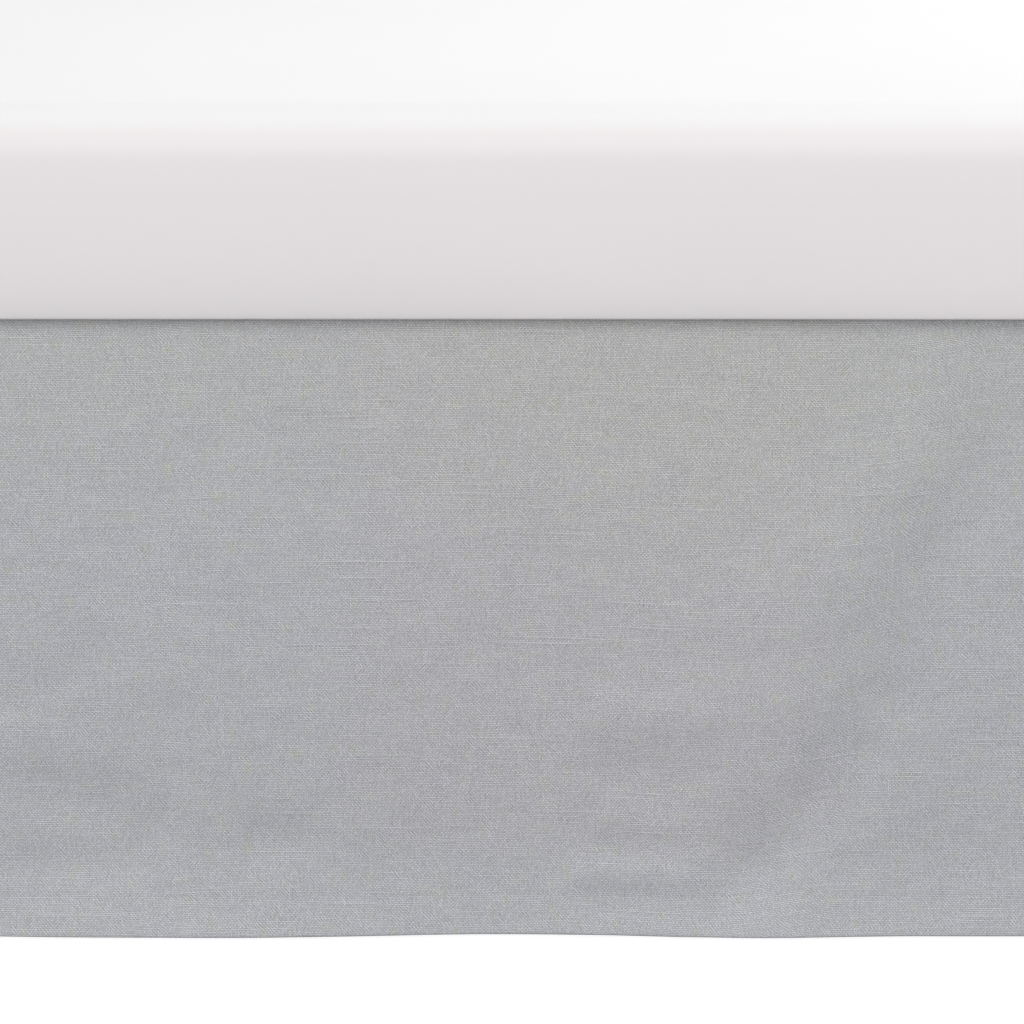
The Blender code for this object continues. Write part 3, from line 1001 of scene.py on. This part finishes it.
def finishWood():
    for name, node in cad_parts.items():
        if name.startswith(("rail", "leg", "ledger", "slat")):
            low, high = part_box(name)
            size = high - low
            longest = max(range(3), key=lambda axis: size[axis])
            node.data.materials.clear()
            node.data.materials.append(pine[longest])


finishWood()
print("base finished in pine")


# Light in watts for area lights; the camera looks at the front drop from slightly above.
studio = {
    "pitch": 13.0,
    "distance": 3.6,
    "aimHeight": 0.28446,
    "aimDepth": -0.350,
    "viewWidth": 0.6563,
    "sensor": 36.0,
    "floorSize": 40.0,
    "fill": 0.15,
}

# Columns: name, place, what it points at, width, height, power, colour
studioLights = (
    ("keyLight", (-1.9, -3.0, 2.9), (0, -0.35, 0.25), 2.4, 2.4, 46.0, (1.0, 1.0, 1.0)),
    ("keyRight", (1.7, -2.6, 3.1), (0, -0.35, 0.25), 2.2, 2.2, 46.0, (1.0, 1.0, 1.0)),
    ("frontFill", (0.0, -4.2, 1.0), (0, -0.35, 0.25), 3.0, 1.6, 53.0, (1.0, 1.0, 1.0)),
    ("leftRake", (-5.4, -0.75, 3.0), (-0.2, 0, 0.25), 3.4, 2.8, 155.0, (1.0, 1.0, 1.0)),
    ("overRight", (1.5, -0.7, 2.6), (0.45, -0.25, 0.5), 1.2, 1.2, 9.7, (1.0, 1.0, 1.0)),
    ("topLight", (1.2, 0.6, 1.7), (0.35, 0.1, 0.5), 1.0, 1.0, 6.0, (1.0, 1.0, 1.0)),
    ("backFill", (-0.6, 4.0, 2.4), (0, 0.3, 0.25), 3.0, 2.0, 93.0, (1.0, 1.0, 1.0)),
    ("rightFill", (3.4, 0.5, 2.0), (0.4, 0.1, 0.25), 2.0, 2.0, 46.0, (1.0, 1.0, 1.0)),
)


def aimAt(thing, place, target):
    thing.location = place
    thing.rotation_euler = (Vector(target) - Vector(place)).to_track_quat("-Z", "Y").to_euler()
    scene.collection.objects.link(thing)


def setCamera():
    pitch = math.radians(studio["pitch"])
    aim = Vector((0, studio["aimDepth"], studio["aimHeight"]))
    back = Vector((0, -math.cos(pitch), math.sin(pitch))) * studio["distance"]
    data = bpy.data.cameras.new("studioCamera")
    data.sensor_width = studio["sensor"]
    data.lens = studio["sensor"] * studio["distance"] / studio["viewWidth"]
    data.clip_end = 100
    camera = bpy.data.objects.new("studioCamera", data)
    aimAt(camera, aim + back, aim)
    scene.camera = camera


def setLights():
    for name, place, target, width, height, power, colour in studioLights:
        data = bpy.data.lights.new(name, "AREA")
        data.shape = "RECTANGLE"
        data.size = width
        data.size_y = height
        data.energy = power
        data.color = colour
        aimAt(bpy.data.objects.new(name, data), place, target)


# the backdrop is white to the camera and a dimmer fill light to everything else
def setWorld():
    world = bpy.data.worlds.new("studioWorld")
    world.use_nodes = True
    tree = world.node_tree
    background = tree.nodes["Background"]
    seen = tree.nodes.new("ShaderNodeLightPath").outputs["Is Camera Ray"]
    fill = studio["fill"]
    plug(tree, background.inputs["Strength"], ramp(tree, seen, 0.0, 1.0, fill, 1.0))
    background.inputs["Color"].default_value = (1, 1, 1, 1)
    scene.world = world


floorFinish = {
    "pale": 0.86,                    # how light the floor looks, and how much that varies
    "mottle": 0.01,
    "mottleTurns": 1.5,
    "bounce": (0.36, 0.37, 0.39, 1),   # the darker floor that the cloth above it is lit by
    "glow": 0.9,
    "roughness": 0.9,
}


def layFloor():
    deselectAll()
    bpy.ops.mesh.primitive_plane_add(size=studio["floorSize"])
    floor = bpy.context.object
    floor.name = "studioFloor"
    material, tree, shader = newMaterial("paleFloor")
    place = tree.nodes.new("ShaderNodeTexCoord").outputs["Object"]
    mottle = evenNoise(tree, place, floorFinish["mottleTurns"], 2.0)
    seen = tree.nodes.new("ShaderNodeLightPath").outputs["Is Camera Ray"]
    pale = calc(tree, "MULTIPLY_ADD", mottle, floorFinish["mottle"], floorFinish["pale"])
    look = joinXyz(tree, pale, pale, pale)
    plug(tree, shader.inputs["Base Color"], mixColour(tree, seen, floorFinish["bounce"], look))
    plug(tree, shader.inputs["Emission Strength"], calc(tree, "MULTIPLY", seen, floorFinish["glow"]))
    shader.inputs["Emission Color"].default_value = (1, 1, 1, 1)
    shader.inputs["Roughness"].default_value = floorFinish["roughness"]
    shader.inputs["Specular IOR Level"].default_value = 0.0
    floor.data.materials.append(material)


setCamera()
setLights()
setWorld()
layFloor()
scene.view_settings.view_transform = "Standard"
scene.view_settings.look = "None"
print("studio set")
